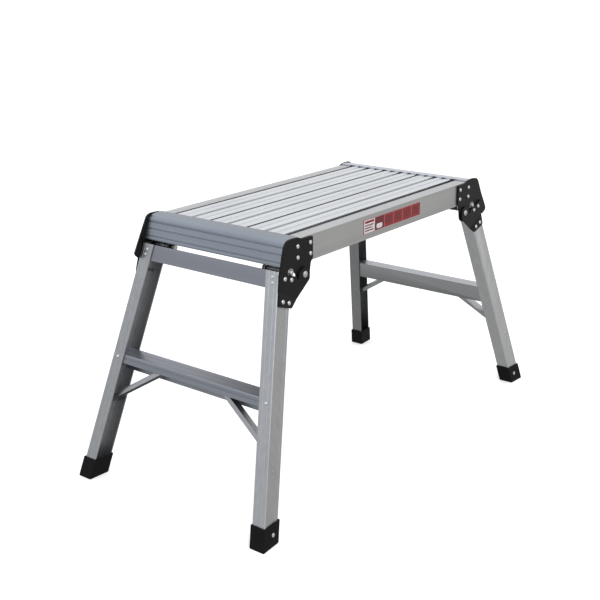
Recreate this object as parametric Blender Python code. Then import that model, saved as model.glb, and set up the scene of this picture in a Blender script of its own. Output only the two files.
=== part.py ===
"""Folding aluminium work platform bench.

Frame: +X along the deck, +Z up, origin on the floor under the middle.
The leg frames stand open.  Lengths are in metres, slopes are per metre of drop.
"""
import math

import bmesh
import bpy
from mathutils import Vector

# ---- deck -------------------------------------------------------------
DECK_TOP = 0.4585        # tread ridges above the floor
DECK_WIDTH = 0.300       # over the two side rails
RAIL_END = 0.2695        # half length of the side rails and planks
RAIL_HEIGHT = 0.0435
RAIL_WALL = 0.002
RAIL_FLANGE = 0.0235
RAIL_DROP = 0.0003       # rail top below the tread ridges
PLANK_PITCH = 0.0805
PLANK_WIDTH = 0.0735
PLANK_SHIFT = 0.0015     # the planks sit slightly towards the back rail
PLANK_DEPTH = 0.018
GROOVES = ((-0.0203, 0.0050, 0.0013), (0.0, 0.0090, 0.0027), (0.0203, 0.0050, 0.0013))
TREAD_SKIN = 0.0045
NOSE_INNER = 0.2703
NOSE_LIP = 0.0022        # inner lip of the end caps above the ridges
NOSE_SLOT = 0.0095       # opening in that lip over each groove
CROSS_BRACE_X = (-0.248, 0.0, 0.248)
CROSS_BRACE_WIDTH = 0.030

# ---- hinge ------------------------------------------------------------
PLATE = 0.003
GAP = 0.0003             # clearance between touching pieces
PIVOT_X = 0.2605
PIVOT_DROP = 0.0605
PIVOT_R = 0.0032
LATCH_X = 0.2925
LATCH_DROP = 0.0510
LATCH_R = 0.0040

# ---- leg frame --------------------------------------------------------
LEG_X0 = 0.3053          # outer face of the leg at deck level
LEG_TILT = 0.2986        # outward lean along X per metre of drop
LEG_Y0 = 0.1421          # outer web of the leg at deck level
LEG_SPLAY = 0.1525       # outward splay along Y per metre of drop
LEG_SKEW = 0.070         # inward slant of the web per metre of depth
LEG_DEPTH = 0.0362
LEG_FLANGE = 0.0250
LEG_WALL = 0.002
LEG_TOP_DROP = 0.0445
LEG_FOOT_Z = 0.005
TOP_RAIL_DROP = 0.0455
TOP_RAIL_BOTTOM = 0.0720
RUNG_DROP = 0.2350
RUNG_FRONT = 0.2495
RUNG_BACK = 0.2700
FOOT_HEIGHT = 0.036
FOOT_WALL = 0.0024

ENDS = (("left", -1), ("right", 1))
SIDES = (("front", -1), ("back", 1))
CORNERS = [(e + "_" + s, ex, sy) for e, ex in ENDS for s, sy in SIDES]


# ---- helpers ----------------------------------------------------------
def clear_scene():
    for obj in list(bpy.data.objects):
        bpy.data.objects.remove(obj, do_unlink=True)


def material(name, colour, metallic, roughness):
    mat = bpy.data.materials.new(name)
    mat.use_nodes = True
    bsdf = mat.node_tree.nodes["Principled BSDF"]
    bsdf.inputs["Base Color"].default_value = (*colour, 1.0)
    bsdf.inputs["Metallic"].default_value = metallic
    bsdf.inputs["Roughness"].default_value = roughness
    return mat


def finish(name, bm, mat, smooth=False):
    bmesh.ops.remove_doubles(bm, verts=bm.verts, dist=0.000001)
    bmesh.ops.recalc_face_normals(bm, faces=bm.faces)
    mesh = bpy.data.meshes.new(name)
    bm.to_mesh(mesh)
    bm.free()
    obj = bpy.data.objects.new(name, mesh)
    bpy.context.scene.collection.objects.link(obj)
    if mat is not None:
        mesh.materials.append(mat)
    if smooth:
        mesh.shade_smooth()
        mesh.set_sharp_from_angle(angle=math.radians(35))
    return obj


def loft(name, rings, mat, smooth=False):
    """Skin a list of equal rings of points and cap both ends."""
    bm = bmesh.new()
    loops = [[bm.verts.new(p) for p in ring] for ring in rings]
    count = len(rings[0])
    for low, high in zip(loops[:-1], loops[1:]):
        for i in range(count):
            j = (i + 1) % count
            bm.faces.new((low[i], low[j], high[j], high[i]))
    bm.faces.new(list(reversed(loops[0])))
    bm.faces.new(loops[-1])
    return finish(name, bm, mat, smooth)


def box(name, low, high, mat):
    ring = [(low[0], low[1]), (high[0], low[1]), (high[0], high[1]), (low[0], high[1])]
    rings = [[(x, y, z) for x, y in ring] for z in (low[2], high[2])]
    return loft(name, rings, mat)


def rod_y(name, x, z, spans, mat, segments=24):
    """Turned piece along Y: spans is a list of (y, radius)."""
    rings = []
    for y, radius in spans:
        ring = []
        for i in range(segments):
            a = 2 * math.pi * (i + 0.5) / segments
            ring.append((x + radius * math.cos(a), y, z + radius * math.sin(a)))
        rings.append(ring)
    return loft(name, rings, mat, True)


def boolean(obj, tool, operation):
    mod = obj.modifiers.new(operation.lower(), "BOOLEAN")
    mod.operation = operation
    mod.solver = "EXACT"
    mod.object = tool
    tool.hide_render = True
    tool.display_type = "WIRE"


def cut(obj, tool):
    boolean(obj, tool, "DIFFERENCE")


def join(obj, tool):
    boolean(obj, tool, "UNION")


def drop(h):
    return DECK_TOP - h


def leg_x(h):
    return LEG_X0 + LEG_TILT * h


def leg_y(h):
    return LEG_Y0 + LEG_SPLAY * h


def web_y(x, h):
    """Outer surface of the leg's web, which slants inward away from the outer flange."""
    return leg_y(h) - LEG_SKEW * (leg_x(h) - x)


# ---- deck -------------------------------------------------------------
def side_rail(name, sy, mat):
    """Outward-facing channel with a wide top flange."""
    top = RAIL_DROP
    low = RAIL_DROP + RAIL_HEIGHT
    wall = RAIL_WALL
    outer = DECK_WIDTH / 2
    inner = outer - RAIL_FLANGE
    short = outer - 0.020
    ring = [(outer, top + 0.0008), (outer, low), (short, low), (short, low - wall),
            (outer - wall, low - wall), (outer - wall, top + wall), (inner, top + wall),
            (inner, top), (outer - 0.0008, top)]
    rings = [[(x, sy * y, drop(h)) for y, h in ring] for x in (-RAIL_END, RAIL_END)]
    return loft(name, rings, mat)


def tread_profile():
    """Top edge of a plank: four ridges, three grooves, the middle one wider."""
    half = PLANK_WIDTH / 2
    edges = []
    for centre, width, depth in GROOVES:
        w = width / 2
        edges += [(centre - w, 0.0), (centre - w + 0.0004, depth),
                  (centre + w - 0.0004, depth), (centre + w, 0.0)]
    return [(-half, 0.0006), (-half + 0.0006, 0.0)] + edges + [(half - 0.0006, 0.0), (half, 0.0006)]


def deck_plank(name, y0, mat):
    half = PLANK_WIDTH / 2
    skin = TREAD_SKIN
    foot = PLANK_DEPTH
    ring = tread_profile()
    ring += [(half, foot), (half - 0.009, foot), (half - 0.009, foot - 0.0016),
             (half - 0.0018, foot - 0.0016), (half - 0.0018, skin)]
    ring += [(0.0009, skin), (0.0009, foot), (-0.0009, foot), (-0.0009, skin)]
    ring += [(-half + 0.0018, skin), (-half + 0.0018, foot - 0.0016),
             (-half + 0.009, foot - 0.0016), (-half + 0.009, foot), (-half, foot)]
    rings = [[(x, y0 + y, drop(h)) for y, h in ring] for x in (-RAIL_END, RAIL_END)]
    return loft(name, rings, mat)


def nose_profile():
    """End cap section as (x, drop): rounded top, three grooves down the face."""
    ring = [(NOSE_INNER, -NOSE_LIP), (0.2870, -NOSE_LIP), (0.2925, -0.0015), (0.2968, 0.0002),
            (0.3000, 0.0027), (0.3019, 0.0055), (0.3032, 0.0087)]
    for h in (0.0096, 0.0203, 0.0322):
        x = 0.3035 + (h - 0.0096) * 0.345
        ring += [(x - 0.0003, h - 0.0009), (x - 0.0011, h - 0.0004),
                 (x - 0.0009, h + 0.0005), (x + 0.0003, h + 0.0010)]
    ring += [(0.3130, 0.0370), (0.3130, 0.0384), (0.3119, 0.0392), (0.2740, 0.0392),
             (0.2740, 0.0372), (0.3105, 0.0372), (0.3091, 0.0330), (0.3016, 0.0115),
             (0.2993, 0.0074), (0.2960, 0.0041), (0.2920, 0.0021), (0.2870, 0.0010),
             (NOSE_INNER, 0.0001)]
    return ring


def nose_cap(name, ex, mat):
    edge = DECK_WIDTH / 2
    rings = [[(ex * x, y, drop(h)) for x, h in nose_profile()] for y in (-edge, edge)]
    cap = loft(name, rings, mat)
    cuts = []
    for k in (-1, 0, 1):
        centre = k * PLANK_PITCH + PLANK_SHIFT
        cuts += [centre + groove[0] for groove in GROOVES]
        cuts.append(centre + PLANK_PITCH / 2)
    cuts.append(-1.5 * PLANK_PITCH + PLANK_SHIFT)
    half = NOSE_SLOT / 2
    for i, y in enumerate(cuts):
        low_x, high_x = sorted((ex * (NOSE_INNER - 0.002), ex * (NOSE_INNER + 0.005)))
        cut(cap, box(name + "_slot_%d" % i, (low_x, y - half, drop(0.0015)),
                     (high_x, y + half, drop(-NOSE_LIP + 0.0007)), None))
    return cap


def cross_brace(name, x0, mat):
    """Inverted channel under the planks, between the rail webs."""
    half = CROSS_BRACE_WIDTH / 2
    top = PLANK_DEPTH + GAP
    low = RAIL_DROP + RAIL_HEIGHT - RAIL_WALL - GAP
    wall = RAIL_WALL
    ring = [(half, top), (half, low), (half - wall, low), (half - wall, top + wall),
            (-half + wall, top + wall), (-half + wall, low), (-half, low), (-half, top)]
    edge = DECK_WIDTH / 2 - RAIL_WALL - GAP
    rings = [[(x0 + x, y, drop(h)) for x, h in ring] for y in (-edge, edge)]
    return loft(name, rings, mat)


def label(name, mat):
    y = -DECK_WIDTH / 2
    return box(name, (-0.0865, y - 0.0007, drop(0.0330)), (0.0970, y - GAP, drop(0.0085)), mat)


# ---- hinges -----------------------------------------------------------
def arc(cx, ch, radius, start, stop, count):
    """Points on an arc in the (x, drop) plane, angles in degrees from +x upwards."""
    pts = []
    for i in range(count + 1):
        a = math.radians(start + (stop - start) * i / count)
        pts.append((cx + radius * math.cos(a), ch - radius * math.sin(a)))
    return pts


def deck_plate_outline(shape):
    """Upper hinge plate: rail tab, nose cover, lock notch and pivot lug; two corners have a lobe."""
    ring = [(0.2350, 0.0384), (0.2350, 0.0036), (0.2356, 0.0030), (0.2625, 0.0018),
            (0.2660, 0.0006), (0.2705, -0.0012), (0.2760, -0.0025), (0.2850, -0.0032),
            (0.2940, -0.0032), (0.2990, -0.0026)]
    if shape == "lobe":
        ring += [(0.3030, -0.0010), (0.3062, 0.0016), (0.3218, 0.0300), (0.3372, 0.0590),
                 (0.3376, 0.0614), (0.3352, 0.0652), (0.3302, 0.0694), (0.3285, 0.0694),
                 (0.3262, 0.0655), (0.3245, 0.0595), (0.3222, 0.0520)]
    elif shape == "long_lobe":
        ring += [(0.3050, -0.0018), (0.3105, 0.0008), (0.3145, 0.0048), (0.3290, 0.0310),
                 (0.3500, 0.0630), (0.3512, 0.0668), (0.3495, 0.0712), (0.3400, 0.0762),
                 (0.3345, 0.0762), (0.3300, 0.0704), (0.3262, 0.0655), (0.3245, 0.0595),
                 (0.3222, 0.0520)]
    else:
        ring += [(0.3030, -0.0008), (0.3064, 0.0024), (0.3094, 0.0066), (0.3142, 0.0240),
                 (0.3189, 0.0462), (0.3200, 0.0520)]
    ring += arc(LATCH_X, 0.0520, 0.0085, 0, 180, 10)
    ring += [(0.2795, 0.0560), (0.2783, 0.0610)]
    ring += arc(PIVOT_X, PIVOT_DROP, 0.0178, -20, -150, 9)
    ring += [(0.2407, 0.0452)]
    return ring


def deck_hinge_plate(name, ex, sy, mat):
    shape = "plain" if ex * sy > 0 else "lobe" if ex < 0 else "long_lobe"
    ring = deck_plate_outline(shape)
    inner = DECK_WIDTH / 2 + GAP
    rings = [[(ex * x, sy * y, drop(h)) for x, h in ring] for y in (inner, inner + PLATE)]
    plate = loft(name, rings, mat)
    cut(plate, rod_y(name + "_bore", ex * PIVOT_X, drop(PIVOT_DROP),
                     [(sy * (inner - 0.01), 0.00328), (sy * (inner + 0.01), 0.00328)], None))
    return plate


def leg_plate_outline():
    """Lower hinge plate: pivot ear, lock notch, then a taper down the leg."""
    ring = [(0.3236, 0.0446), (0.3242, 0.0550), (0.3262, 0.0680), (0.3282, 0.0800),
            (0.3302, 0.0925), (0.3296, 0.0952), (0.3272, 0.0976), (0.3010, 0.1066),
            (0.2985, 0.1068), (0.2955, 0.1052), (0.2500, 0.0722), (0.2482, 0.0695)]
    ring += arc(PIVOT_X, PIVOT_DROP, 0.0128, 180, 40, 9)
    ring += [(0.2732, 0.0530), (0.2757, 0.0570), (0.2765, 0.0620), (0.2772, 0.0642),
             (0.2792, 0.0650), (0.2808, 0.0640), (0.2813, 0.0612), (0.2822, 0.0592)]
    ring += [(0.3215, 0.0452)]
    return ring


def past_bend(x, h):
    """How far the leg's web stands out past the plate's flat part; zero on the bend line."""
    return web_y(x, h) + GAP - (DECK_WIDTH / 2 + PLATE + 2 * GAP)


def leg_plate_inner(x, h):
    return DECK_WIDTH / 2 + PLATE + 2 * GAP + max(0.0, past_bend(x, h))


def split_ring(ring):
    """Add a point wherever an edge crosses the bend line."""
    out = []
    for (xa, ha), (xb, hb) in zip(ring, ring[1:] + ring[:1]):
        out.append((xa, ha))
        fa, fb = past_bend(xa, ha), past_bend(xb, hb)
        if fa * fb < 0:
            t = fa / (fa - fb)
            out.append((xa + t * (xb - xa), ha + t * (hb - ha)))
    return out


def leg_hinge_plate(name, ex, sy, mat):
    """Flat above the bend line, then bent out along the splayed leg."""
    ring = split_ring(leg_plate_outline())
    bm = bmesh.new()
    skins = []
    for extra in (0.0, PLATE):
        verts = [bm.verts.new((ex * x, sy * (leg_plate_inner(x, h) + extra), drop(h)))
                 for x, h in ring]
        skins.append(verts)
    on_bend = [i for i, (x, h) in enumerate(ring) if abs(past_bend(x, h)) < 0.0000001]
    a, b = on_bend[0], on_bend[-1]
    for verts in skins:
        bm.faces.new(verts[a:b + 1])
        bm.faces.new(verts[b:] + verts[:a + 1])
    count = len(ring)
    for i in range(count):
        j = (i + 1) % count
        bm.faces.new((skins[0][i], skins[0][j], skins[1][j], skins[1][i]))
    plate = finish(name, bm, mat)
    inner = DECK_WIDTH / 2
    cut(plate, rod_y(name + "_bore", ex * PIVOT_X, drop(PIVOT_DROP),
                     [(sy * inner, 0.0035), (sy * (inner + 0.02), 0.0035)], None))
    cut(plate, rod_y(name + "_relief", ex * LATCH_X, drop(LATCH_DROP),
                     [(sy * inner, 0.0045), (sy * (inner + 0.02), 0.0045)], None))
    return plate


def pivot_rivet(name, ex, sy, mat):
    """Round-headed rivet through both plates."""
    inner = DECK_WIDTH / 2 + GAP
    outer = inner + 2 * PLATE + GAP
    spans = [(inner - 0.0028, 0.0030), (inner - 0.0024, 0.0046), (inner - GAP, 0.0050),
             (inner - GAP, PIVOT_R), (outer + GAP, PIVOT_R), (outer + GAP, 0.0056),
             (outer + 0.0012, 0.0052), (outer + 0.0022, 0.0036), (outer + 0.0026, 0.0014)]
    spans = [(sy * y, r) for y, r in spans]
    return rod_y(name, ex * PIVOT_X, drop(PIVOT_DROP), spans, mat)


# ---- leg frames -------------------------------------------------------
def leg_section():
    """Channel section as (depth from the outer face, depth from the web)."""
    d, w, t = LEG_DEPTH, LEG_FLANGE, LEG_WALL
    g = 0.0005
    return [(0.0, 0.0010), (0.0, 0.0060), (g, 0.0064), (g, 0.0076), (0.0, 0.0080),
            (0.0, 0.0160), (g, 0.0164), (g, 0.0176), (0.0, 0.0180), (0.0, w),
            (t, w), (t, t), (d - t, t), (d - t, w), (d, w), (d, 0.0010), (d - 0.0010, 0.0),
            (d - 0.0065, 0.0), (d - 0.0068, 0.0003), (0.0068, 0.0003), (0.0065, 0.0),
            (0.0010, 0.0)]


def leg(name, ex, sy, mat):
    rings = []
    for h in (DECK_TOP - LEG_FOOT_Z, LEG_TOP_DROP):
        rings.append([(ex * (leg_x(h) - a), sy * (leg_y(h) - LEG_SKEW * a - b), drop(h))
                      for a, b in leg_section()])
    post = loft(name, rings, mat)
    cut(post, rod_y(name + "_bore", ex * LATCH_X, drop(LATCH_DROP),
                    [(sy * 0.140, 0.0043), (sy * 0.160, 0.0043)], None))
    return post


def top_rail(name, ex, mat):
    """Angle between the leg tops, its web behind the outer flanges."""
    t = LEG_WALL
    arm = 0.0140
    section = []
    for a, h in ((0.0, TOP_RAIL_DROP), (0.0, TOP_RAIL_BOTTOM), (arm, TOP_RAIL_BOTTOM),
                 (arm, TOP_RAIL_BOTTOM - t), (t, TOP_RAIL_BOTTOM - t), (t, TOP_RAIL_DROP)):
        section.append((leg_x(h) - t - GAP - a, h))
    rings = [[(ex * x, side * (web_y(x, TOP_RAIL_DROP) - t - GAP), drop(h)) for x, h in section]
             for side in (-1, 1)]
    return loft(name, rings, mat)


def rung(name, ex, mat):
    """Tread step: level top, short front apron, deeper back apron."""
    t = LEG_WALL
    front = t + GAP
    back = LEG_DEPTH - t - GAP
    g = 0.0005
    top = RUNG_DROP
    points = [(back, top), (front + 0.0012, top), (front, top + 0.0012),
              (front, top + 0.0058), (front + g, top + 0.0062), (front + g, top + 0.0072),
              (front, top + 0.0076), (front, RUNG_FRONT), (front + t, RUNG_FRONT),
              (front + t, top + t), (back - t, top + t), (back - t, RUNG_BACK),
              (back, RUNG_BACK)]
    section = [(leg_x(h) - a, h) for a, h in points]
    rings = [[(ex * x, side * (web_y(x, top) - t - GAP), drop(h)) for x, h in section]
             for side in (-1, 1)]
    return loft(name, rings, mat)


def brace(name, ex, sy, mat):
    """Shallow channel strut from under the step down to the leg web."""
    y1, h1 = 0.0605, 0.2376
    y2, h2 = 0.1605, 0.3005
    run, fall = y2 - y1, h2 - h1
    length = math.hypot(run, fall)
    along = (run / length, fall / length)
    normal = (fall / length, -run / length)
    width, deep, t = 0.0150, 0.0080, 0.0018
    lean = math.atan(LEG_TILT)
    level, dip = math.cos(lean), math.sin(lean)
    section = [(0.0, 0.0), (width, 0.0), (width, deep), (width - t, deep), (width - t, t),
               (t, t), (t, deep), (0.0, deep)]
    rings = []
    for y, h in ((y1, h1), (y2, h2)):
        ring = []
        for a, n in section:
            yy = y - normal[0] * n
            hh = h - normal[1] * n
            slide = 0.0
            if y == y2:
                web = leg_y(hh + dip * a) - LEG_SKEW * (0.0113 + a / level)
                slide = (web - LEG_WALL - GAP - yy) / (along[0] - LEG_SPLAY * along[1])
            yy += along[0] * slide
            hh += along[1] * slide
            ring.append((ex * (leg_x(hh) - 0.0113 - level * a), sy * yy, drop(hh + dip * a)))
        rings.append(ring)
    return loft(name, rings, mat)


def foot(name, ex, sy, mat):
    """Rubber boot over the end of the leg, level on the floor."""
    rings = []
    for z in (0.0, 0.0015, FOOT_HEIGHT):
        h = DECK_TOP - z
        inset = 0.0010 if z == 0.0 else 0.0
        rings.append(boot_ring(ex, sy, h, FOOT_WALL - inset, z))
    boot = loft(name, rings, mat)
    cavity = []
    for z in (LEG_FOOT_Z - GAP, FOOT_HEIGHT + 0.01):
        cavity.append(boot_ring(ex, sy, DECK_TOP - z, GAP, z))
    cut(boot, loft(name + "_socket", cavity, None))
    return boot


def boot_ring(ex, sy, h, grow, z):
    ring = []
    for a, b in ((LEG_DEPTH + grow, LEG_FLANGE + grow), (-grow, LEG_FLANGE + grow),
                 (-grow, -grow), (LEG_DEPTH + grow, -grow)):
        ring.append((ex * (leg_x(h) - a), sy * (leg_y(h) - LEG_SKEW * a - b), z))
    return ring


# ---- latches ----------------------------------------------------------
def latch_bracket(name, ex, sy, mat):
    """U bracket that carries the spring pin, with a tail to the top rail."""
    x0, x1 = 0.2890, 0.3000
    tail = 0.3176
    y0, y1 = 0.1060, 0.1445
    t = 0.0018
    top, low = 0.0462, 0.0592
    ring = [(y0, top), (y0 + t, top), (y0 + t, low - t), (y1 - t, low - t), (y1 - t, top),
            (y1, top), (y1, low), (y0, low)]
    rings = [[(ex * x, sy * y, drop(h)) for y, h in ring] for x in (x0, x1)]
    body = loft(name, rings, mat)
    low_x, high_x = sorted((ex * (x1 - 0.002), ex * tail))
    low_y, high_y = sorted((sy * 0.1080, sy * 0.1425))
    join(body, box(name + "_tail", (low_x, low_y, drop(low)), (high_x, high_y, drop(low - t)),
                   None))
    cut(body, rod_y(name + "_bore", ex * LATCH_X, drop(LATCH_DROP),
                    [(sy * 0.100, 0.0043), (sy * 0.150, 0.0043)], None))
    return body


def latch_pin(name, ex, sy, mat):
    """Spring pin: grip head, shank, collar, rounded nose through the plates."""
    r = LATCH_R
    spans = [(0.0975, 0.0040), (0.0980, 0.0052), (0.1000, 0.0052), (0.1005, r),
             (0.1310, r), (0.1310, 0.0056), (0.1328, 0.0056), (0.1328, r),
             (0.1552, r), (0.1560, r * 0.8)]
    spans = [(sy * y, radius) for y, radius in spans]
    return rod_y(name, ex * LATCH_X, drop(LATCH_DROP), spans, mat)


def latch_spring(name, ex, sy, mat):
    """Coil around the pin, between the bracket and the collar."""
    turns, steps, sides = 6, 12, 5
    wire, radius = 0.0004, 0.0050
    start, stop = 0.1086, 0.1302
    rings = []
    for i in range(turns * steps + 1):
        a = 2 * math.pi * i / steps
        y = start + (stop - start) * i / (turns * steps)
        centre = Vector((LATCH_X + radius * math.cos(a), y, drop(LATCH_DROP) + radius * math.sin(a)))
        out = Vector((math.cos(a), 0.0, math.sin(a)))
        up = Vector((0.0, 1.0, 0.0))
        ring = []
        for k in range(sides):
            b = 2 * math.pi * k / sides
            p = centre + out * wire * math.cos(b) + up * wire * math.sin(b)
            ring.append((ex * p.x, sy * p.y, p.z))
        rings.append(ring)
    return loft(name, rings, mat, True)


# ---- assembly ---------------------------------------------------------
def build_deck():
    for side, sy in SIDES:
        side_rail("side_rail_" + side, sy,
                  material("rail_metal_" + side, (0.62, 0.63, 0.64), 1.0, 0.42))
    for spot, k in (("front", -1), ("middle", 0), ("back", 1)):
        deck_plank("deck_plank_" + spot, k * PLANK_PITCH + PLANK_SHIFT,
                   material("plank_metal_" + spot, (0.80, 0.81, 0.82), 1.0, 0.40))
    for end, ex in ENDS:
        nose_cap("nose_cap_" + end, ex, material("nose_metal_" + end, (0.58, 0.60, 0.63), 1.0, 0.40))
    for spot, x0 in zip(("left", "middle", "right"), CROSS_BRACE_X):
        cross_brace("cross_brace_" + spot, x0,
                    material("cross_metal_" + spot, (0.55, 0.56, 0.57), 1.0, 0.5))
    label("side_label", material("label_red", (0.45, 0.03, 0.03), 0.0, 0.45))
    for corner, ex, sy in CORNERS:
        deck_hinge_plate("deck_hinge_plate_" + corner, ex, sy,
                         material("deck_plate_black_" + corner, (0.02, 0.02, 0.022), 0.3, 0.45))


def build_leg_frame(end, ex):
    metal = (0.60, 0.61, 0.62)
    top_rail("top_rail_" + end, ex, material("top_rail_metal_" + end, metal, 1.0, 0.42))
    rung("rung_" + end, ex, material("rung_metal_" + end, metal, 1.0, 0.42))
    for side, sy in SIDES:
        tag = end + "_" + side
        leg("leg_" + tag, ex, sy, material("leg_metal_" + tag, metal, 1.0, 0.42))
        brace("brace_" + tag, ex, sy, material("brace_metal_" + tag, metal, 1.0, 0.45))
        foot("foot_" + tag, ex, sy, material("foot_rubber_" + tag, (0.015, 0.015, 0.016), 0.0, 0.7))
        leg_hinge_plate("leg_hinge_plate_" + tag, ex, sy,
                        material("leg_plate_black_" + tag, (0.02, 0.02, 0.022), 0.3, 0.45))
        pivot_rivet("pivot_rivet_" + tag, ex, sy,
                    material("rivet_steel_" + tag, (0.75, 0.75, 0.76), 1.0, 0.3))
        latch_bracket("latch_bracket_" + tag, ex, sy,
                      material("bracket_black_" + tag, (0.02, 0.02, 0.022), 0.3, 0.45))
        latch_pin("latch_pin_" + tag, ex, sy,
                  material("pin_steel_" + tag, (0.70, 0.70, 0.71), 1.0, 0.3))
        latch_spring("latch_spring_" + tag, ex, sy,
                     material("spring_steel_" + tag, (0.70, 0.70, 0.71), 1.0, 0.3))


def main():
    clear_scene()
    build_deck()
    for end, ex in ENDS:
        build_leg_frame(end, ex)


main()
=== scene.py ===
"""Looks for the folding work platform: finishes, small fixings, floor, light and camera."""
import math

import bmesh
import bpy
from mathutils import Matrix, Vector

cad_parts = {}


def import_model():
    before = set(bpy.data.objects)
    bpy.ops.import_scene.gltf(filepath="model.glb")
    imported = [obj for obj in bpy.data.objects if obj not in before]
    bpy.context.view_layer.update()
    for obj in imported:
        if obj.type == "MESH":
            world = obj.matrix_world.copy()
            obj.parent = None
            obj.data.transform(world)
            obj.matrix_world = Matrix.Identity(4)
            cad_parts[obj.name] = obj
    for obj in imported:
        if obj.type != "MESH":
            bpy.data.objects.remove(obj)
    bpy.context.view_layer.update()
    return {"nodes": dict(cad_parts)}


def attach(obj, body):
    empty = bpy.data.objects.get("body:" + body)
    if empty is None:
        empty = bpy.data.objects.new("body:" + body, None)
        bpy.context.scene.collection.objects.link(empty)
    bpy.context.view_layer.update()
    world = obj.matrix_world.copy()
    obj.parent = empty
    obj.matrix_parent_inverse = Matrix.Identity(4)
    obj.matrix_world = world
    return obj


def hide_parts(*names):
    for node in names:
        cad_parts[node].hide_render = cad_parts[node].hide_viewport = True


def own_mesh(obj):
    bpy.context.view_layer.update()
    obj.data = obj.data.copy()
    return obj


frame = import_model()
NODES = frame["nodes"]

DECK_TOP = 0.4585
ENDS = (("left", -1), ("right", 1))
SIDES = (("front", -1), ("back", 1))
CORNERS = [(e + "_" + s, ex, sy) for e, ex in ENDS for s, sy in SIDES]

LEG_X0, LEG_TILT = 0.3053, 0.2986
LEG_Y0, LEG_SPLAY, LEG_SKEW, LEG_WALL = 0.1421, 0.1525, 0.070, 0.002
PLATE, GAP, RAIL_Y = 0.003, 0.0003, 0.150
LATCH_X, LATCH_DROP = 0.2925, 0.0510
SEAT = 0.00002          # how far a fixing's base stands off the surface under it
UP = (0.0, 0.0, 1.0)


def drop(h):
    return DECK_TOP - h


def leg_x(h):
    return LEG_X0 + LEG_TILT * h


def leg_y(h):
    return LEG_Y0 + LEG_SPLAY * h


def web_y(x, h):
    """Outer surface of a leg's web."""
    return leg_y(h) - LEG_SKEW * (leg_x(h) - x)


# ---- materials --------------------------------------------------------
class Tree:
    """Small helper for building a node tree in reading order."""

    def __init__(self, name):
        self.mat = bpy.data.materials.new(name)
        self.mat.use_nodes = True
        self.nodes = self.mat.node_tree.nodes
        self.links = self.mat.node_tree.links
        self.bsdf = self.nodes["Principled BSDF"]

    def object_coord(self):
        return self.new("ShaderNodeTexCoord").outputs["Object"]

    def new(self, kind, inputs=None, **props):
        node = self.nodes.new(kind)
        for key, value in props.items():
            setattr(node, key, value)
        for key, value in (inputs or {}).items():
            if isinstance(value, bpy.types.NodeSocket):
                self.links.new(value, node.inputs[key])
            else:
                node.inputs[key].default_value = value
        return node

    def noise(self, vector, scale, detail=4.0, rough=0.55):
        node = self.new("ShaderNodeTexNoise", {"Vector": vector, "Scale": scale,
                                               "Detail": detail, "Roughness": rough})
        return node.outputs["Fac"]

    def remap(self, value, low, high, out_low, out_high):
        node = self.new("ShaderNodeMapRange", {"Value": value, "From Min": low, "From Max": high,
                                               "To Min": out_low, "To Max": out_high})
        return node.outputs["Result"]

    def math(self, op, a, b):
        node = self.new("ShaderNodeMath", {0: a, 1: b}, operation=op)
        return node.outputs[0]

    def set(self, **values):
        """Fixed values on the shader, with _ for the spaces in a socket's name."""
        for key, value in values.items():
            self.bsdf.inputs[key.replace("_", " ")].default_value = value

    def skin(self, colour, rough):
        self.links.new(colour, self.bsdf.inputs["Base Color"])
        self.links.new(rough, self.bsdf.inputs["Roughness"])

    def bump(self, height, strength):
        node = self.new("ShaderNodeBump", {"Height": height, "Strength": strength,
                                           "Distance": 0.0002})
        self.links.new(node.outputs["Normal"], self.bsdf.inputs["Normal"])

    def mix(self, factor, a, b):
        node = self.new("ShaderNodeMix", data_type="RGBA")
        for index, value in ((0, factor), (6, a), (7, b)):
            if isinstance(value, bpy.types.NodeSocket):
                self.links.new(value, node.inputs[index])
            elif index == 0:
                node.inputs[index].default_value = value
            else:
                node.inputs[index].default_value = (*value, 1.0)
        return node.outputs[2]


ALONG_LINES, ACROSS_LINES = 1.5, 260.0      # how the die lines' noise is stretched


def scaled(colour, factor):
    return tuple(c * factor for c in colour)


def aluminium(name, colour, rough, turn=(0.0, 0.0, 0.0), along="X", recess=None):
    """Extruded aluminium: fine die lines along the length, faint cloudy oxide.

    With recess, a height, the skin is painted darker just below it: painted shade in the grooves
    and in the gaps between planks."""
    t = Tree(name)
    coord = t.object_coord()
    aligned = t.new("ShaderNodeMapping", {"Vector": coord, "Rotation": turn},
                    vector_type="TEXTURE")
    lines = {axis: (ALONG_LINES if axis == along else ACROSS_LINES) for axis in "XYZ"}
    stretch = t.new("ShaderNodeMapping", {"Vector": aligned.outputs["Vector"],
                                          "Scale": (lines["X"], lines["Y"], lines["Z"])})
    fine = t.noise(stretch.outputs["Vector"], 3.0, 3.0, 0.6)
    broad = t.noise(stretch.outputs["Vector"], 0.45, 2.0, 0.5)
    cloud = t.noise(coord, 9.0, 5.0, 0.6)
    blend = t.math("ADD", t.math("MULTIPLY", fine, 0.5), t.math("MULTIPLY", broad, 0.5))
    shade = t.math("ADD", t.math("MULTIPLY", blend, 0.75), t.math("MULTIPLY", cloud, 0.25))
    amount = t.remap(shade, 0.35, 0.65, 0.0, 1.0)
    dark = scaled(colour, 0.88)
    light = tuple(min(1.0, c) for c in scaled(colour, 1.08))
    skin = t.mix(amount, dark, light)
    if recess is not None:
        # painted shade: below the recess height the colour blends to a much darker copy, for
        # grooves and plank gaps
        height = t.new("ShaderNodeSeparateXYZ", {0: coord}).outputs["Z"]
        shade_in = t.remap(height, recess - 0.0050, recess - 0.0008, 1.0, 0.0)
        skin = t.mix(shade_in, skin, scaled(colour, 0.22))
    t.skin(skin, t.remap(shade, 0.35, 0.65, rough + 0.05, rough - 0.04))
    t.bump(fine, 0.10)
    t.set(Metallic=1.0)
    return t.mat


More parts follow.
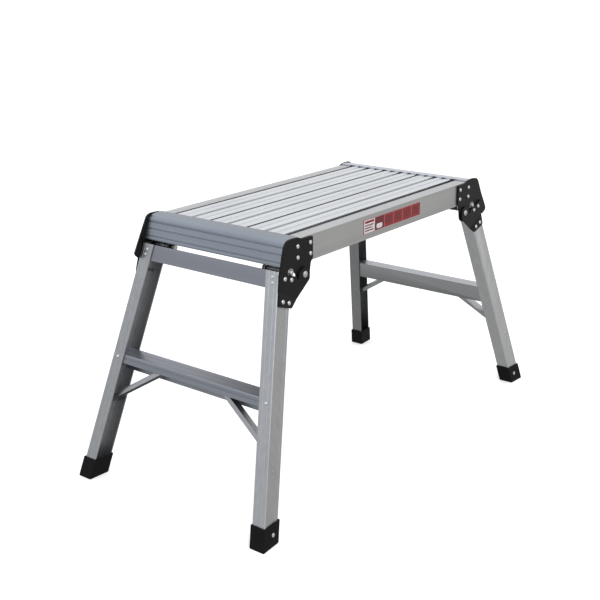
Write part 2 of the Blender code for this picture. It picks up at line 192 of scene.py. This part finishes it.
def coated_steel(name, colour, rough):
    """Satin black powder coat: fine orange peel, slightly greyer on the high spots."""
    t = Tree(name)
    coord = t.object_coord()
    peel = t.noise(coord, 900.0, 3.0, 0.6)
    cloud = t.noise(coord, 45.0, 4.0, 0.6)
    t.skin(t.mix(t.remap(cloud, 0.3, 0.7, 0.0, 1.0), colour, scaled(colour, 1.6)),
           t.remap(cloud, 0.3, 0.7, rough - 0.05, rough + 0.07))
    t.bump(peel, 0.25)
    t.set(Specular_IOR_Level=0.22)
    return t.mat


def rubber(name, colour):
    """Moulded rubber: fine grain under a little dust."""
    t = Tree(name)
    coord = t.object_coord()
    grain = t.noise(coord, 1300.0, 4.0, 0.65)
    dust = t.noise(coord, 60.0, 5.0, 0.6)
    t.skin(t.mix(t.remap(dust, 0.4, 0.75, 0.0, 1.0), colour, scaled(colour, 1.9)),
           t.remap(dust, 0.3, 0.7, 0.55, 0.72))
    t.bump(grain, 0.35)
    t.set(Specular_IOR_Level=0.16)
    return t.mat


def plated(name, colour, rough):
    """Zinc-plated steel: mottled tone and gloss."""
    t = Tree(name)
    coord = t.object_coord()
    mottle = t.noise(coord, 420.0, 4.0, 0.6)
    t.skin(t.mix(t.remap(mottle, 0.35, 0.65, 0.0, 1.0), scaled(colour, 0.8), colour),
           t.remap(mottle, 0.35, 0.65, rough + 0.08, rough))
    t.set(Metallic=1.0)
    return t.mat


def film(name, colour, rough=0.38):
    """Printed plastic film: faint print unevenness under a satin surface."""
    t = Tree(name)
    coord = t.object_coord()
    tone = t.noise(coord, 120.0, 4.0, 0.6)
    t.skin(t.mix(t.remap(tone, 0.3, 0.7, 0.0, 1.0), scaled(colour, 0.9), colour),
           t.remap(tone, 0.3, 0.7, rough, rough + 0.1))
    return t.mat


def assign(node_name, mat):
    """Give a CAD node this finish on every slot."""
    obj = NODES[node_name]
    for slot in obj.material_slots:
        slot.material = mat


def soften(node_name, width, segments=2, angle=32.0):
    """Round a carried-over node's sharp edges and shade its curves smooth."""
    obj = NODES[node_name]
    weld = obj.modifiers.new("weld", "WELD")
    weld.merge_threshold = 0.00002
    bevel = obj.modifiers.new("edge", "BEVEL")
    bevel.width = width
    bevel.segments = segments
    bevel.limit_method = "ANGLE"
    bevel.angle_limit = math.radians(angle)
    bevel.harden_normals = True
    bevel.use_clamp_overlap = True
    bevel.miter_outer = "MITER_ARC"


# ---- finishes ---------------------------------------------------------
BLACK = (0.0045, 0.0045, 0.0050)
RUBBER_BLACK = (0.0035, 0.0035, 0.0038)
ZINC = (0.72, 0.72, 0.73)
RAIL_TONE, PLANK_TONE = (0.58, 0.585, 0.59), (0.79, 0.81, 0.825)
# painted shade: the top rails' aluminium is darker than the other aluminium, for the shade under
# the nose caps
TOP_RAIL_SHADED_TONE, CROSS_TONE = (0.32, 0.33, 0.36), (0.5, 0.5, 0.51)
LEG_COLOUR, BRACE_TONE = (0.57, 0.58, 0.59), (0.50, 0.51, 0.52)
# painted light and shade: each leg's copy of one aluminium is made brighter or darker for how
# light falls on it
LEG_LIGHT_AND_SHADE = {"left_front": 0.98, "left_back": 0.84, "right_front": 1.16, "right_back": 0.66}
# painted light and shade: the near nose cap is darker and the far one lighter, for how light falls
# on each
NOSE_LIGHT_AND_SHADE = {"left": (0.315, 0.345, 0.385), "right": (0.64, 0.67, 0.71)}
# painted shade: the near rung is darker than the far one, for the shade under the deck
RUNG_LIGHT_AND_SHADE = {"left": (0.315, 0.33, 0.36), "right": (0.50, 0.515, 0.535)}
for side, _ in SIDES:
    assign("side_rail_" + side, aluminium("rail_skin_" + side, RAIL_TONE, 0.40, along="X"))
for spot in ("front", "middle", "back"):
    assign("deck_plank_" + spot,
           aluminium("plank_skin_" + spot, PLANK_TONE, 0.42, along="X", recess=DECK_TOP))
for end, _ in ENDS:
    assign("nose_cap_" + end, aluminium("nose_skin_" + end, NOSE_LIGHT_AND_SHADE[end], 0.38, along="Y"))
    assign("top_rail_" + end, aluminium("top_rail_skin_" + end, TOP_RAIL_SHADED_TONE, 0.40, along="Y"))
    assign("rung_" + end, aluminium("rung_skin_" + end, RUNG_LIGHT_AND_SHADE[end], 0.40, along="Y"))
for spot in ("left", "middle", "right"):
    assign("cross_brace_" + spot, aluminium("cross_skin_" + spot, CROSS_TONE, 0.45, along="Y"))
for tag, ex, sy in CORNERS:
    lean = (math.atan(-sy * LEG_SPLAY), math.atan(ex * LEG_TILT), 0.0)
    # painted light and shade: the leg colour scaled per corner
    leg_lit_tone = scaled(LEG_COLOUR, LEG_LIGHT_AND_SHADE[tag])
    assign("leg_" + tag, aluminium("leg_skin_" + tag, leg_lit_tone, 0.40, lean, "Z"))
    assign("brace_" + tag, aluminium("brace_skin_" + tag, BRACE_TONE, 0.40, along="Y"))
    for part in ("deck_hinge_plate_", "leg_hinge_plate_", "latch_bracket_"):
        assign(part + tag, coated_steel(part + "skin_" + tag, BLACK, 0.40))
    assign("foot_" + tag, rubber("foot_skin_" + tag, RUBBER_BLACK))
    for part in ("pivot_rivet_", "latch_pin_"):
        assign(part + tag, plated(part + "skin_" + tag, ZINC, 0.30))
assign("side_label", film("label_border_skin", (0.55, 0.30, 0.30)))


# ---- edges ------------------------------------------------------------
for side, _ in SIDES:
    soften("side_rail_" + side, 0.0005)
for end, _ in ENDS:
    for part, width in (("nose_cap_", 0.00025), ("top_rail_", 0.0005), ("rung_", 0.0005)):
        soften(part + end, width)
for tag, _, _ in CORNERS:
    for part, width in (("leg_", 0.0003), ("brace_", 0.0004), ("deck_hinge_plate_", 0.0005),
                        ("leg_hinge_plate_", 0.0005), ("latch_bracket_", 0.0004)):
        soften(part + tag, width)
    soften("foot_" + tag, 0.0012, 3)


# ---- fixings ----------------------------------------------------------
SMOOTH_BELOW = math.radians(38)


def bridge(bm, low, high):
    """Quads between two closed loops of the same length."""
    for i in range(len(low)):
        j = (i + 1) % len(low)
        bm.faces.new((low[i], low[j], high[j], high[i]))


def add_piece(name, bm, mat, body, smooth=True):
    """Turn a bmesh into a piece that moves with body and wears mat."""
    bmesh.ops.recalc_face_normals(bm, faces=bm.faces)
    mesh = bpy.data.meshes.new(name)
    bm.to_mesh(mesh)
    bm.free()
    if smooth:
        mesh.shade_smooth()
        mesh.set_sharp_from_angle(angle=SMOOTH_BELOW)
    mesh.materials.append(mat)
    obj = bpy.data.objects.new(name, mesh)
    bpy.context.scene.collection.objects.link(obj)
    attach(obj, body)
    return obj


def turned(name, profile, place, normal, mat, body, segments=24, ring=False):
    """Small turned piece: profile is (radius, height above the seat), bottom to top.

    With ring the profile closes on itself round a hole instead of being capped."""
    axis = Vector(normal).normalized()
    side = axis.orthogonal().normalized()
    other = axis.cross(side)
    bm = bmesh.new()
    loops = []
    for radius, height in profile:
        loop = []
        for i in range(segments):
            a = 2 * math.pi * i / segments
            p = Vector(place) + axis * height + (side * math.cos(a) + other * math.sin(a)) * radius
            loop.append(bm.verts.new(p))
        loops.append(loop)
    pairs = list(zip(loops[:-1], loops[1:]))
    if ring:
        pairs.append((loops[-1], loops[0]))
    for low, high in pairs:
        bridge(bm, low, high)
    if not ring:
        bm.faces.new(loops[0])
        bm.faces.new(loops[-1])
    return add_piece(name, bm, mat, body)


def pop_rivet(r):
    """Domed pop rivet head with the broken mandrel sunk in the middle."""
    return [(r * 0.97, SEAT), (r, r * 0.10), (r * 0.95, r * 0.24), (r * 0.80, r * 0.38),
            (r * 0.58, r * 0.47), (r * 0.40, r * 0.50), (r * 0.34, r * 0.47), (r * 0.31, r * 0.36),
            (r * 0.24, r * 0.34), (r * 0.20, r * 0.37), (r * 0.08, r * 0.39)]


def low_rivet(r):
    """Flat, almost flush rivet head."""
    return [(r * 0.97, SEAT), (r, r * 0.06), (r * 0.90, r * 0.15), (r * 0.60, r * 0.20),
            (r * 0.30, r * 0.22), (r * 0.08, r * 0.22)]


def rivet_tail(r):
    """Crushed blind side of a pop rivet."""
    return [(r * 0.78, SEAT), (r * 0.92, r * 0.25), (r * 0.96, r * 0.55), (r * 0.80, r * 0.85),
            (r * 0.52, r * 1.00), (r * 0.46, r * 1.04), (r * 0.44, r * 1.30), (r * 0.30, r * 1.36),
            (r * 0.10, r * 1.38)]


def coil_spring(tag, ex, sy):
    """Coil round the lock pin with closed end turns."""
    wire, radius, start, stop = 0.00042, 0.0050, 0.1086, 0.1301
    steps, sides = 24, 8
    end_pitch, open_turns = 0.0009, 5
    open_pitch = (stop - start - 2 * end_pitch) / open_turns
    pitches = [end_pitch] + [open_pitch] * open_turns + [end_pitch]
    bm = bmesh.new()
    loops = []
    y = start
    for i in range(len(pitches) * steps + 1):
        a = 2 * math.pi * i / steps
        out = Vector((math.cos(a), 0.0, math.sin(a)))
        centre = Vector((LATCH_X, y, drop(LATCH_DROP))) + out * radius
        loop = []
        for k in range(sides):
            b = 2 * math.pi * k / sides
            p = centre + out * (wire * math.cos(b)) + Vector((0.0, wire * math.sin(b), 0.0))
            loop.append(bm.verts.new((ex * p.x, sy * p.y, p.z)))
        loops.append(loop)
        y += pitches[min(i // steps, len(pitches) - 1)] / steps
    for low, high in zip(loops[:-1], loops[1:]):
        bridge(bm, low, high)
    bm.faces.new(loops[0])
    bm.faces.new(loops[-1])
    spring = add_piece("pin_spring_" + tag, bm, plated("spring_skin_" + tag, ZINC, 0.30),
                       "leg_frame_" + tag.split("_")[0])
    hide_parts("latch_spring_" + tag)
    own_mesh(spring)


RIVET = plated("rivet_head_skin", (0.86, 0.86, 0.87), 0.30)
TAIL = plated("rivet_tail_skin", (0.34, 0.34, 0.35), 0.45)
BUSH = plated("pin_bush_skin", (0.46, 0.46, 0.47), 0.42)

# (x, drop) or (y, drop) of each rivet at the back right corner, mirrored to the others
DECK_PLATE_RIVETS = ((0.2424, 0.0120), (0.2420, 0.0303), (0.2752, 0.0120), (0.2750, 0.0303))
LEG_PLATE_RIVETS = ((0.3122, 0.0560), (0.2958, 0.0612), (0.3200, 0.0910), (0.3046, 0.0968))
TOP_RAIL_RIVETS = ((0.1380, 0.0535), (0.1405, 0.0620))
TAIL_BELOW = 0.06       # leg plate rivets lower than this show their blind side
BUSH_PROFILE = [(0.0043, 0.0), (0.0068, 0.0), (0.0073, 0.0004), (0.0073, 0.0021),
                (0.0069, 0.0025), (0.0043, 0.0025)]
FOOT_RIVET_DROP, FOOT_RIVET_INSET, FOOT_WALL = 0.4395, 0.0215, 0.0024
PIP_DROP, PIP_INSET, PIP_SINK = 0.3440, 0.0150, 0.0004
RUNG_DROP, RUNG_RIVET_Y = 0.240, 0.1675
RAIL_RIVET_X, RAIL_RIVET_Y = (-0.248, 0.0, 0.248), 0.138
for tag, ex, sy in CORNERS:
    end, side = tag.split("_")
    frame_body = "leg_frame_" + end
    web_normal = (-ex * LEG_SKEW, sy, LEG_SPLAY - LEG_SKEW * LEG_TILT)
    flange_normal = (ex, 0.0, LEG_TILT)
    for i, (x, h) in enumerate(DECK_PLATE_RIVETS):
        turned("deck_plate_rivet_%s_%d" % (tag, i), pop_rivet(0.0037),
               (ex * x, sy * (RAIL_Y + GAP + PLATE), drop(h)), (0.0, sy, 0.0),
               RIVET, "deck")
        turned("deck_plate_tail_%s_%d" % (tag, i), rivet_tail(0.0028),
               (ex * x, sy * (RAIL_Y - LEG_WALL), drop(h)), (0.0, -sy, 0.0),
               TAIL, "deck")
    for i, (x, h) in enumerate(LEG_PLATE_RIVETS):
        flat = RAIL_Y + 2 * PLATE + 2 * GAP
        bent = web_y(x, h) + GAP + PLATE
        normal = (0.0, sy, 0.0) if bent < flat else web_normal
        turned("leg_plate_rivet_%s_%d" % (tag, i), pop_rivet(0.0038),
               (ex * x, sy * max(flat, bent), drop(h)), normal,
               RIVET, frame_body)
        if h > TAIL_BELOW:
            turned("leg_web_tail_%s_%d" % (tag, i), rivet_tail(0.0028),
                   (ex * x, sy * (web_y(x, h) - LEG_WALL), drop(h)), scaled(web_normal, -1.0),
                   TAIL, frame_body)
    for i, (y, h) in enumerate(TOP_RAIL_RIVETS):
        turned("top_rail_rivet_%s_%d" % (tag, i), pop_rivet(0.0026),
               (ex * leg_x(h), sy * y, drop(h)), flange_normal, RIVET, frame_body)
    turned("pin_bush_" + tag, BUSH_PROFILE,
           (ex * LATCH_X, sy * (RAIL_Y + 0.0005), drop(LATCH_DROP)), (0.0, sy, 0.0),
           BUSH, frame_body, 32, ring=True)
    coil_spring(tag, ex, sy)
    x_foot = leg_x(FOOT_RIVET_DROP) - FOOT_RIVET_INSET
    y_foot = web_y(x_foot, FOOT_RIVET_DROP) + FOOT_WALL
    turned("foot_rivet_" + tag, low_rivet(0.0036),
           (ex * x_foot, sy * y_foot, drop(FOOT_RIVET_DROP)), web_normal,
           RIVET, frame_body)
    x_pip = leg_x(PIP_DROP) - PIP_INSET
    turned("web_pip_" + tag, low_rivet(0.0030),
           (ex * x_pip, sy * (web_y(x_pip, PIP_DROP) - PIP_SINK), drop(PIP_DROP)), web_normal,
           NODES["leg_" + tag].material_slots[0].material, frame_body)
    turned("rung_rivet_" + tag, pop_rivet(0.0030),
           (ex * leg_x(RUNG_DROP), sy * RUNG_RIVET_Y, drop(RUNG_DROP)), flange_normal,
           RIVET, frame_body)
for side, sy in SIDES:
    for i, x in enumerate(RAIL_RIVET_X):
        turned("rail_rivet_%s_%d" % (side, i), low_rivet(0.0034),
               (x, sy * RAIL_RIVET_Y, drop(GAP)), UP,
               NODES["side_rail_" + side].material_slots[0].material, "deck")


# ---- side label: plain colour blocks, no lettering ---------------------
LABEL_FACE = 0.0007             # label's front face, outside the rail's
LABEL_TOP, LABEL_LOW = 0.0093, 0.0322       # drops of the label's blocks
PANEL, PRINT = 0.00012, 0.00020             # how far panels and print stand out
BLOCK_START, BLOCK_PITCH, BLOCK_WIDTH = -0.0228, 0.0299, 0.0290


def tile(name, x0, x1, h0, h1, lift, mat, corner=0.0012):
    """Thin printed patch with rounded corners on the front rail."""
    bm = bmesh.new()
    ring = []
    for cx, ch, start in ((x1 - corner, h0 + corner, 0), (x0 + corner, h0 + corner, 90),
                          (x0 + corner, h1 - corner, 180), (x1 - corner, h1 - corner, 270)):
        for k in range(5):
            a = math.radians(start + k * 22.5)
            ring.append((cx + corner * math.cos(a), ch - corner * math.sin(a)))
    y = -(RAIL_Y + LABEL_FACE)
    low = [bm.verts.new((x, y - SEAT, drop(h))) for x, h in ring]
    high = [bm.verts.new((x, y - lift, drop(h))) for x, h in ring]
    bridge(bm, low, high)
    bm.faces.new(low)
    bm.faces.new(high)
    add_piece(name, bm, mat, "deck", smooth=False)


RED = film("label_red_skin", (0.30, 0.018, 0.024))
DARK_RED = film("label_dark_red_skin", (0.16, 0.014, 0.020))
DARKER_RED = film("label_block_patch_skin", (0.20, 0.020, 0.024))
WHITE = film("label_white_skin", (0.80, 0.76, 0.75))
tile("label_white_panel", -0.0858, -0.0540, LABEL_TOP, LABEL_LOW, PANEL, WHITE)
tile("label_white_panel_bar", -0.0838, -0.0560, 0.0108, 0.0150, PRINT, RED, 0.0006)
for i in range(3):
    tile("label_white_panel_line_%d" % i, -0.0838, -0.0575 - 0.004 * (i % 2), 0.0178 + 0.0046 * i,
         0.0198 + 0.0046 * i, PRINT, DARK_RED, 0.0004)
tile("label_dark_panel", -0.0530, -0.0240, LABEL_TOP, LABEL_LOW, PANEL, DARK_RED)
tile("label_dark_panel_patch", -0.0480, -0.0300, 0.0215, 0.0300, PRINT, WHITE, 0.0030)
for i in range(4):
    x0 = BLOCK_START + i * BLOCK_PITCH
    tile("label_red_block_%d" % i, x0, x0 + BLOCK_WIDTH, LABEL_TOP, LABEL_LOW, PANEL, RED)
    tile("label_red_block_patch_%d" % i, x0 + 0.0055, x0 + 0.0225, 0.0132, 0.0275, PRINT,
         DARKER_RED, 0.0020)


# ---- floor, light, camera ---------------------------------------------
FLOOR_HALF = 90.0


def show(obj):
    bpy.context.scene.collection.objects.link(obj)


def floor():
    """Plain pale floor, lit evenly so that it meets the surround without an edge."""
    bm = bmesh.new()
    for x, y in ((-1, -1), (1, -1), (1, 1), (-1, 1)):
        bm.verts.new((x * FLOOR_HALF, y * FLOOR_HALF, 0.0))
    bm.faces.new(bm.verts)
    mesh = bpy.data.meshes.new("floor")
    bm.to_mesh(mesh)
    bm.free()
    obj = bpy.data.objects.new("floor", mesh)
    show(obj)
    t = Tree("floor_pale")
    t.set(Base_Color=(0.86, 0.86, 0.86, 1.0), Roughness=0.9, Specular_IOR_Level=0.0,
          Emission_Color=(1.0, 1.0, 1.0, 1.0), Emission_Strength=0.42)
    mesh.materials.append(t.mat)
    obj.visible_glossy = False
    obj.visible_diffuse = False


# position from straight down (0) to straight up (1), brightness, blue relative to red
SKY = ((0.0, 0.34, 0.94), (0.30, 0.46, 0.95), (0.44, 0.58, 0.98), (0.52, 0.62, 1.0),
       (0.62, 0.82, 1.03), (0.80, 1.0, 1.04))
WHITE_LIGHT = (1.0, 1.0, 1.0, 1.0)


def world():
    """Soft studio surround: bright overhead, greyer at the sides and below, plain white behind."""
    studio = bpy.data.worlds.new("studio")
    bpy.context.scene.world = studio
    studio.use_nodes = True
    nodes, links = studio.node_tree.nodes, studio.node_tree.links

    def span(source, low, high):
        node = nodes.new("ShaderNodeMapRange")
        node.inputs["From Min"].default_value = low
        node.inputs["From Max"].default_value = high
        links.new(source, node.inputs["Value"])
        return node.outputs["Result"]

    coord = nodes.new("ShaderNodeTexCoord")
    split = nodes.new("ShaderNodeSeparateXYZ")
    links.new(coord.outputs["Generated"], split.inputs[0])

    ramp = nodes.new("ShaderNodeValToRGB")
    links.new(span(split.outputs["Z"], -1.0, 1.0), ramp.inputs["Fac"])
    ramp.color_ramp.elements[0].position = SKY[0][0]
    ramp.color_ramp.elements[1].position = SKY[-1][0]
    for stop in SKY[1:-1]:
        ramp.color_ramp.elements.new(stop[0])
    for element, (pos, value, blue) in zip(ramp.color_ramp.elements, SKY):
        element.position = pos
        element.color = (value, value * (1.0 + (blue - 1.0) * 0.25), value * blue, 1.0)

    tint = nodes.new("ShaderNodeMix")
    tint.data_type = "RGBA"
    tint.inputs[6].default_value = (0.97, 0.99, 1.03, 1.0)
    tint.inputs[7].default_value = (1.005, 1.0, 0.99, 1.0)
    links.new(span(split.outputs["X"], -0.8, 0.6), tint.inputs[0])
    blend = nodes.new("ShaderNodeMix")
    blend.data_type = "RGBA"
    blend.blend_type = "MULTIPLY"
    blend.inputs[0].default_value = 1.0
    links.new(ramp.outputs["Color"], blend.inputs[6])
    links.new(tint.outputs[2], blend.inputs[7])

    back = nodes["Background"]
    links.new(blend.outputs[2], back.inputs["Color"])
    back.inputs["Strength"].default_value = 1.0
    seen = nodes.new("ShaderNodeBackground")
    seen.inputs["Color"].default_value = WHITE_LIGHT
    seen.inputs["Strength"].default_value = 1.0
    path = nodes.new("ShaderNodeLightPath")
    pick = nodes.new("ShaderNodeMixShader")
    links.new(path.outputs["Is Camera Ray"], pick.inputs[0])
    links.new(back.outputs[0], pick.inputs[1])
    links.new(seen.outputs[0], pick.inputs[2])
    links.new(pick.outputs[0], nodes["World Output"].inputs["Surface"])


def area_light(name, place, aim, size, power):
    data = bpy.data.lights.new(name, "AREA")
    data.shape = "DISK"
    data.size = size
    data.energy = power
    obj = bpy.data.objects.new(name, data)
    obj.location = place
    obj.rotation_euler = (Vector(aim) - Vector(place)).to_track_quat("-Z", "Y").to_euler()
    show(obj)


CAMERA_PLACE = (-1.49633, -1.10290, 0.86932)
CAMERA_FORWARD = (0.750904, 0.580882, -0.314198)
CAMERA_ROLL = -0.00567
CAMERA_NUDGE = 0.000489     # small turn left and up, as a share of the view direction


def camera():
    """Standing view from above the front left corner."""
    data = bpy.data.cameras.new("camera")
    data.sensor_width = 36.0
    data.lens = 61.29
    obj = bpy.data.objects.new("camera", data)
    forward = Vector(CAMERA_FORWARD).normalized()
    level = forward.cross(Vector(UP)).normalized()
    upright = level.cross(forward)
    right = level * math.cos(CAMERA_ROLL) + upright * math.sin(CAMERA_ROLL)
    up = upright * math.cos(CAMERA_ROLL) - level * math.sin(CAMERA_ROLL)
    forward = (forward - right * CAMERA_NUDGE + up * CAMERA_NUDGE).normalized()
    right = (right - forward * right.dot(forward)).normalized()
    up = right.cross(forward)
    turn = Matrix((right, up, -forward)).transposed().to_4x4()
    obj.matrix_world = Matrix.Translation(CAMERA_PLACE) @ turn
    data.clip_start = 0.05
    data.clip_end = 400.0
    show(obj)
    bpy.context.scene.camera = obj


floor()
world()
area_light("key", (-1.6, -2.2, 2.4), (0.0, 0.0, 0.3), 1.2, 30.0)
camera()
bpy.context.scene.view_settings.view_transform = "Standard"
